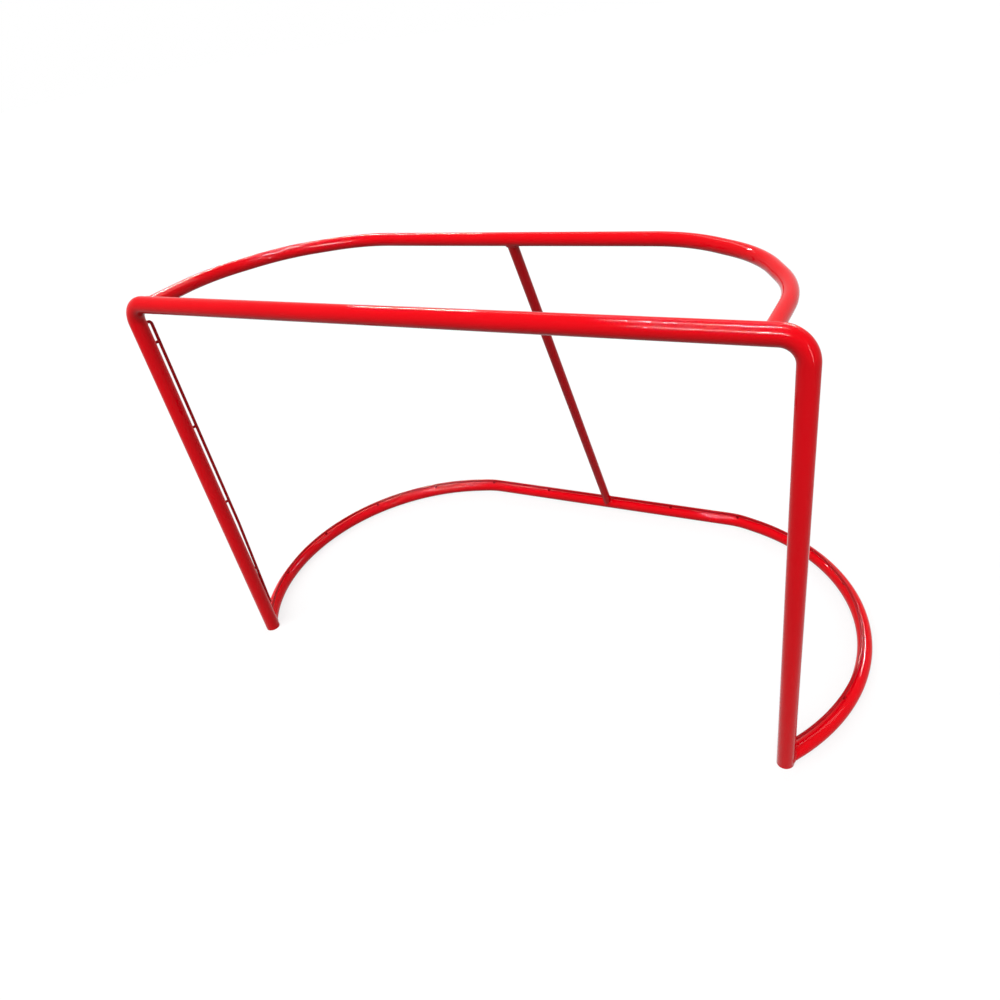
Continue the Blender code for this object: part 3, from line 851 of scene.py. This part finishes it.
class GOAL_OT_top_pipe(GoalOperator, bpy.types.Operator):
    """Make the pipe of the top shelf"""

    bl_idname = "goal.top_pipe"
    bl_label = "Top pipe"

    def execute(self, context):
        self.read(context, "pipe")
        goal = self.goal
        hosts = (goal.crossbar_host, goal.crossbar_host)
        surface = pipe_skin(both_sides(goal.top_half()), UP, goal.top_radius,
                            self.sizes.top_wall, hosts)
        add_piece("top_tube", surface, self.coat)
        return {"FINISHED"}


class GOAL_OT_strut(GoalOperator, bpy.types.Operator):
    """Make the rear strut"""

    bl_idname = "goal.strut"
    bl_label = "Rear strut"

    def execute(self, context):
        self.read(context, "strut")
        goal = self.goal
        hosts = (goal.top_back_host, goal.base_back_host)
        surface = pipe_skin(goal.strut(), RIGHT, goal.strut_radius, self.sizes.strut_wall,
                            hosts)
        add_piece("rear_strut", surface, self.coat)
        return {"FINISHED"}


class GOAL_OT_lacing_rods(GoalOperator, bpy.types.Operator):
    """Make the rods along the base, the posts and the crossbar"""

    bl_idname = "goal.lacing_rods"
    bl_label = "Lacing rods"

    def execute(self, context):
        self.read(context, "rod")
        goal = self.goal
        radius = goal.rod_radius
        for side in SIDES:
            post = on_side(side, goal.post_host)
            surface = bar_skin(on_side(side, goal.base_rod()), UP, radius,
                               (post, goal.strut_host))
            add_piece(side + "_base_rod", surface, self.coat)
            normal = np.cross(on_side(side, goal.post_rod_way), UP)
            surface = bar_skin(on_side(side, goal.post_rod()), normal, radius, (None, post))
            add_piece(side + "_post_rod", surface, self.coat)
        hosts = (goal.leg_host, on_side("left", goal.leg_host))
        surface = bar_skin(goal.crossbar_rod(), UP, radius, hosts)
        add_piece("crossbar_rod", surface, self.coat)
        return {"FINISHED"}


class GOAL_OT_studs(GoalOperator, bpy.types.Operator):
    """Make the studs that hold the rods off the pipes"""

    bl_idname = "goal.studs"
    bl_label = "Studs"

    def execute(self, context):
        self.read(context, "rod")
        for side in SIDES:
            self.base_studs(side)
            self.post_studs(side)
        self.crossbar_studs()
        return {"FINISHED"}

    def stud(self, node, foot, way, along, pipe_radius, reach):
        """One stud from a pipe's axis at foot to its rod."""
        surface = stud_skin(foot, way, along, pipe_radius, reach, self.goal.rod_radius,
                            self.sizes.stud_diameter / 2, self.sizes.stud_bead)
        add_piece(node, surface, self.coat)

    def base_studs(self, side):
        """Studs spread evenly along half of the base."""
        goal = self.goal
        half = goal.base_half()
        pitch = line_length(half) / (self.sizes.base_studs + 1)
        tilt = self.sizes.base_tilt
        for number in range(1, self.sizes.base_studs + 1):
            foot, travel = back_from_end(half, number * pitch)
            way = UP * math.cos(tilt) + np.cross(UP, travel) * math.sin(tilt)
            foot, way, travel = (on_side(side, part) for part in (foot, way, travel))
            self.stud(f"{side}_base_stud_{number}", foot, way, travel, goal.base_radius,
                      goal.base_rod_reach)

    def post_studs(self, side):
        """Studs spread evenly up a post."""
        goal = self.goal
        highest = goal.crossbar[2] - self.sizes.post_stud_drop
        lowest = goal.seat_top + self.sizes.post_stud_rise
        heights = np.linspace(highest, lowest, self.sizes.post_studs)
        for number, height in enumerate(heights, start=1):
            foot = on_side(side, goal.post + UP * height)
            way = on_side(side, goal.post_rod_way)
            self.stud(f"{side}_post_stud_{number}", foot, way, UP, goal.front_radius,
                      goal.post_rod_reach(height))

    def crossbar_studs(self):
        """Studs spread evenly along the crossbar."""
        goal = self.goal
        count = self.sizes.crossbar_studs
        pitch = 2 * goal.leg[0] / count
        for number in range(count):
            foot = goal.crossbar + RIGHT * ((number + 0.5) * pitch - goal.leg[0])
            self.stud(f"crossbar_stud_{number + 1}", foot, goal.crossbar_rod_way, RIGHT,
                      goal.front_radius, goal.rod_reach)


class GOAL_OT_pipe_welds(GoalOperator, bpy.types.Operator):
    """Lay the beads between the pipes"""

    bl_idname = "goal.pipe_welds"
    bl_label = "Pipe welds"

    def execute(self, context):
        self.read(context, "weld")
        goal, sizes = self.goal, self.sizes
        leg = sizes.pipe_bead
        head, foot = goal.strut()
        down = unit(foot - head)
        ring_bead("strut_head_weld", "right", goal.top_back_host, head, down,
                  goal.strut_radius, leg, sizes, self.coat)
        ring_bead("strut_foot_weld", "right", goal.base_back_host, foot, -down,
                  goal.strut_radius, leg, sizes, self.coat)
        for side in SIDES:
            ring_bead(side + "_top_weld", side, goal.crossbar_host, goal.leg, BACK,
                      goal.top_radius, leg, sizes, self.coat)
            self.base_weld(side)
        return {"FINISHED"}

    def base_weld(self, side):
        """Bead between post and base pipe, with a gap underneath, where they meet the ice."""
        goal, sizes = self.goal, self.sizes
        reach = np.pi - sizes.bead_opening / 2
        count = RIPPLE_SAMPLES * round(2 * reach * goal.base_radius / sizes.ripple)
        turns = QUARTER + np.linspace(-reach, reach, count)
        start = goal.post + UP * goal.base_radius
        line = seam(goal.post_host, start, goal.base_way, goal.base_radius, turns)
        line = [on_side(side, part) for part in line]
        surface = bead_skin(*line, sizes.pipe_bead, sizes.ripple, False)
        add_piece(side + "_base_weld", surface, self.coat)


class GOAL_OT_rod_welds(GoalOperator, bpy.types.Operator):
    """Lay the beads at the ends of the lacing rods"""

    bl_idname = "goal.rod_welds"
    bl_label = "Rod welds"

    def execute(self, context):
        self.read(context, "weld")
        goal, sizes = self.goal, self.sizes
        base_rod = goal.base_rod()
        hook = goal.post + UP * goal.hook_z
        ends = {
            "base_rod_post": (goal.post_host, base_rod[0], goal.base_way),
            "base_rod_strut": (goal.strut_host, base_rod[-1], RIGHT),
            "post_rod_head": (goal.post_host, hook, goal.post_rod_way),
            "crossbar_rod": (goal.leg_host, goal.crossbar_rod()[0], -RIGHT),
        }
        for side in SIDES:
            for end, (host, start, away) in ends.items():
                ring_bead(f"{side}_{end}_weld", side, host, start, away, goal.rod_radius,
                          sizes.rod_bead, sizes, self.coat)
            self.seat_weld(side)
        return {"FINISHED"}

    def seat_weld(self, side):
        """Bead down one flank of a rod's seat, round its end and up the other flank.

        Its centre lies where a circle of the bead's radius, half sunk, would touch both the
        post and the rod: cos t = (a^2 + d^2 - b^2) / 2 a d for the sides a, b and d of the
        triangle between the three axes.
        """
        goal, sizes = self.goal, self.sizes
        sunk = sizes.seat_bead / 2
        a, b, d = goal.front_radius + sunk, goal.rod_radius + sunk, goal.seat_reach
        turn = math.acos((a * a + d * d - b * b) / (2 * a * d))
        aside, reach = a * math.sin(turn), a * math.cos(turn)
        plan = bent_line((-aside, goal.seat_top), -QUARTER, [
            ("straight", sizes.rod_seat),
            ("bend", aside, 2 * QUARTER),
            ("straight", sizes.rod_seat),
        ])
        across = np.cross(UP, goal.post_rod_way)
        line = in_space(plan, goal.post + goal.post_rod_way * reach, across, UP)
        line = evenly(line, sizes.ripple / RIPPLE_SAMPLES)
        surface = bar_skin(on_side(side, line), on_side(side, goal.post_rod_way),
                           sizes.seat_bead, (None, None))
        add_piece(side + "_post_rod_foot_weld", surface, self.coat)


class GOAL_OT_stage(bpy.types.Operator):
    """Set up the floor, the lamps and the camera"""

    bl_idname = "goal.stage"
    bl_label = "Stage"

    def execute(self, context):
        """Pale floor and white backdrop, soft lamps, and the camera."""
        stage = context.scene.goal_stage
        half = stage.floor_size / 2
        corners = np.array([(-half, -half, FLOOR_Z), (half, -half, FLOOR_Z),
                            (half, half, FLOOR_Z), (-half, half, FLOOR_Z)])
        floor = add_mesh("studio_floor", corners, [(0, 1, 2, 3)], studio_floor(stage))
        studio_world(stage)
        for name, (way, strength) in BROAD_LIGHTS.items():
            self.broad_light(name, Vector(way), strength)
        for name, (place, aim, size, watts) in STRIPS.items():
            self.strip(name, Vector(place), Vector(aim), size, watts)
        self.camera(context, stage)
        context.scene.view_settings.view_transform = "Standard"
        return {"FINISHED"}

    def broad_light(self, name, way, strength):
        """Even light from one direction, kept out of the gloss, which it would haze."""
        lamp = bpy.data.lights.new(name, "SUN")
        lamp.energy = strength
        lamp.angle = BROAD_ANGLE
        thing = add_object(name, lamp)
        thing.rotation_euler = way.to_track_quat("Z", "Y").to_euler()
        thing.visible_glossy = False

    def strip(self, name, place, aim, size, watts):
        """A rectangular lamp that faces its aim. It shows in the gloss but lights nothing."""
        lamp = bpy.data.lights.new(name, "AREA")
        lamp.shape = "RECTANGLE"
        lamp.size, lamp.size_y = size
        lamp.energy = watts
        thing = add_object(name, lamp)
        thing.location = place
        thing.rotation_euler = (aim - place).to_track_quat("-Z", "Y").to_euler()
        thing.visible_diffuse = False

    def camera(self, context, stage):
        """The camera at the picture's angle: turned, then tilted down, then rolled."""
        lens = bpy.data.cameras.new("camera")
        lens.lens = stage.camera_lens
        lens.shift_x, lens.shift_y = stage.camera_shift
        camera = add_object("camera", lens)
        camera.matrix_world = (
            Matrix.Translation(stage.camera_place)
            @ Matrix.Rotation(stage.camera_turn, 4, "Z")
            @ Matrix.Rotation(QUARTER - stage.camera_tilt, 4, "X")
            @ Matrix.Rotation(-stage.camera_roll, 4, "Z"))
        context.scene.camera = camera


class GOAL_PT_panel(bpy.types.Panel):
    """Sidebar page with the goal's sizes, finishes and pieces"""

    bl_idname = "GOAL_PT_panel"
    bl_label = "Ice hockey goal"
    bl_space_type = "VIEW_3D"
    bl_region_type = "UI"
    bl_category = "Goal"

    def draw(self, context):
        """A button for each operator, then every size and colour."""
        layout = self.layout
        for operator in OPERATORS:
            layout.operator(operator.bl_idname)
        for group in ("goal_sizes", "goal_finish", "goal_stage"):
            box = layout.box()
            settings = getattr(context.scene, group)
            for name in type(settings).__annotations__:
                box.prop(settings, name)


OPERATORS = (
    GOAL_OT_front_pipe, GOAL_OT_base_pipe, GOAL_OT_top_pipe, GOAL_OT_strut,
    GOAL_OT_lacing_rods, GOAL_OT_studs, GOAL_OT_pipe_welds, GOAL_OT_rod_welds, GOAL_OT_stage)
GROUPS = {"goal_sizes": GoalSizes, "goal_finish": GoalFinish, "goal_stage": GoalStage}


def register():
    """Register the classes and hang the settings on the scene."""
    for kind in (*GROUPS.values(), *OPERATORS, GOAL_PT_panel):
        bpy.utils.register_class(kind)
    for name, group in GROUPS.items():
        setattr(bpy.types.Scene, name, PointerProperty(type=group))


def unregister():
    """Take the settings and the classes away again."""
    for name in GROUPS:
        delattr(bpy.types.Scene, name)
    for kind in (GOAL_PT_panel, *reversed(OPERATORS), *GROUPS.values()):
        bpy.utils.unregister_class(kind)


def main():
    """Make the goal and its stage."""
    register()
    for group, name in (operator.bl_idname.split(".") for operator in OPERATORS):
        getattr(getattr(bpy.ops, group), name)()


if __name__ == "__main__":
    main()
